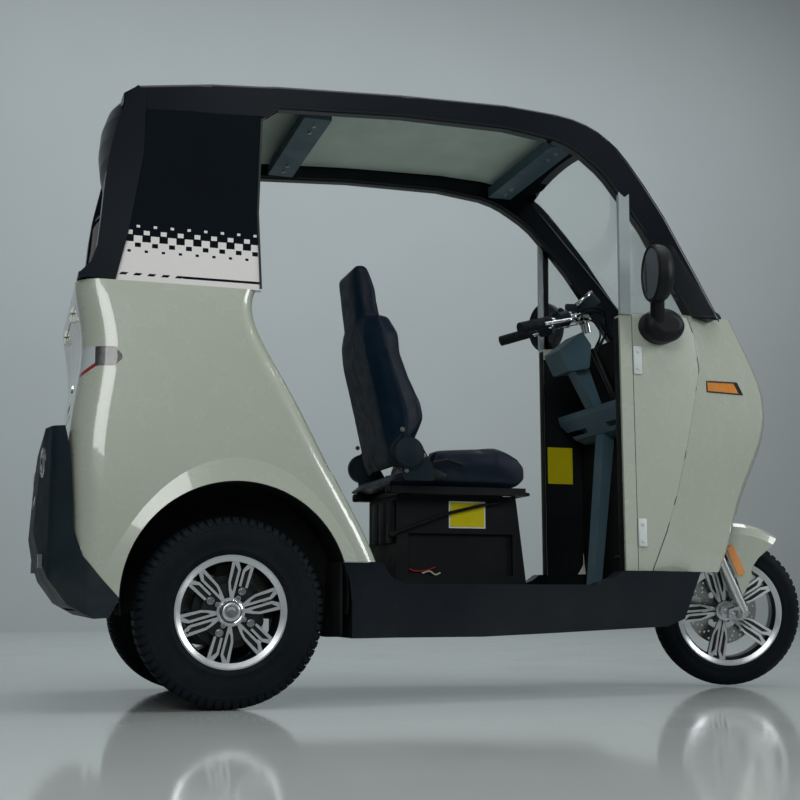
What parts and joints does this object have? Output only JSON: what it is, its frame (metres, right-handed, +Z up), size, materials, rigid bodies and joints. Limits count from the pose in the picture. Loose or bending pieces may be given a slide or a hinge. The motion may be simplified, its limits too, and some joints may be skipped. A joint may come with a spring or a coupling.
{
  "type": "three wheeled electric cabin car",
  "caption": "Narrow three wheeled car with a turned front wheel, open sides, a roof on slim rails, a driver's seat, handlebar steering and a closed rear body.",
  "frame": {"origin": "middle of the vehicle's length and width, on the floor it stands on", "axes": "+X forward, +Y to the vehicle's left, +Z up"},
  "size_m": [2.3692, 0.9166, 1.726],
  "materials": {
    "cream_paint": "gloss",
    "gloss_black": "gloss",
    "dark_plastic": "satin",
    "grey_plastic": "satin",
    "ceiling": "matte",
    "frame_black": "satin",
    "machinery": "matte",
    "battery_case": "matte",
    "seat_cover": "soft grain",
    "tyre": "matte",
    "alloy": "machined face with black pockets",
    "fork_silver": "satin",
    "disc_steel": "brushed",
    "chrome": "polished",
    "grip_rubber": "matte",
    "clear_glass": "clear",
    "tinted_glass": "tinted",
    "red_lens": "gloss",
    "amber_lens": "gloss",
    "white_lens": "gloss",
    "mirror_shell": "gloss"
  },
  "bodies": {
    "body": {"chassis_frame": "frame_black", "rear_subframe": "frame_black", "front_frame": "frame_black", "battery_pack": "battery_case", "rear_axle": "machinery", "rear_springs": "frame_black", "floor_pan": "gloss_black", "rear_body_right": "cream_paint", "rear_body_left": "cream_paint", "tail_panel": "cream_paint", "bench_base": "dark_plastic", "rear_bumper": "dark_plastic", "rear_reflectors": "white_lens", "tail_lamps": "red_lens", "quarter_panels": "gloss_black", "rear_pillars": "gloss_black", "rear_window": "tinted_glass", "rear_visor": "gloss_black", "roof_panel": "gloss_black", "roof_straps": "grey_plastic", "roof_rails": "gloss_black", "windscreen": "clear_glass", "side_posts": "fork_silver", "side_glass": "clear_glass", "front_side_panels": "cream_paint", "nose_panel": "cream_paint", "headlamp": "white_lens", "side_markers": "amber_lens", "leg_shield": "dark_plastic", "dash_tray": "grey_plastic", "column_shroud": "grey_plastic", "seat_box": "dark_plastic", "seat_slides": "frame_black", "seat_recliner": "dark_plastic", "seat_cushion": "seat_cover", "seat_back": "seat_cover", "bench_cushion": "seat_cover", "bench_back": "seat_cover", "mirrors": "mirror_shell"},
    "trunk_lid": {"trunk_lid": "cream_paint"},
    "steering": {"fork": "fork_silver", "front_fender": "cream_paint", "fork_reflectors": "amber_lens", "handlebar": "chrome", "grips": "grip_rubber", "switch_pods": "dark_plastic"},
    "front_wheel": {"front_tyre": "tyre", "front_rim": "alloy", "brake_disc": "disc_steel"},
    "rear_wheel_right": {"rear_tyre_right": "tyre", "rear_rim_right": "alloy"},
    "rear_wheel_left": {"rear_tyre_left": "tyre", "rear_rim_left": "alloy"}
  },
  "joints": [
    {"name": "steering", "type": "hinge", "parent": "body", "child": "steering", "pos_m": [0.9128, 0, 0.21494], "axis": [-0.4226, 0, 0.9063], "range_deg": [-18.4, 51.6]},
    {"name": "front_wheel_spin", "type": "hinge", "parent": "steering", "child": "front_wheel", "pos_m": [0.95362, -0.01343, 0.23397], "axis": [0.2589, 0.9583, 0.1207], "continuous": true},
    {"name": "rear_wheel_right_spin", "type": "hinge", "parent": "body", "child": "rear_wheel_right", "pos_m": [-0.7046, -0.376, 0.239], "axis": [0, 1, 0], "continuous": true},
    {"name": "rear_wheel_left_spin", "type": "hinge", "parent": "body", "child": "rear_wheel_left", "pos_m": [-0.7046, 0.376, 0.239], "axis": [0, 1, 0], "continuous": true},
    {"name": "trunk_lid_hinge", "type": "hinge", "parent": "body", "child": "trunk_lid", "pos_m": [-1.1076, 0, 1.031], "axis": [0, 1, 0], "range_deg": [0, 75]}
  ]
}
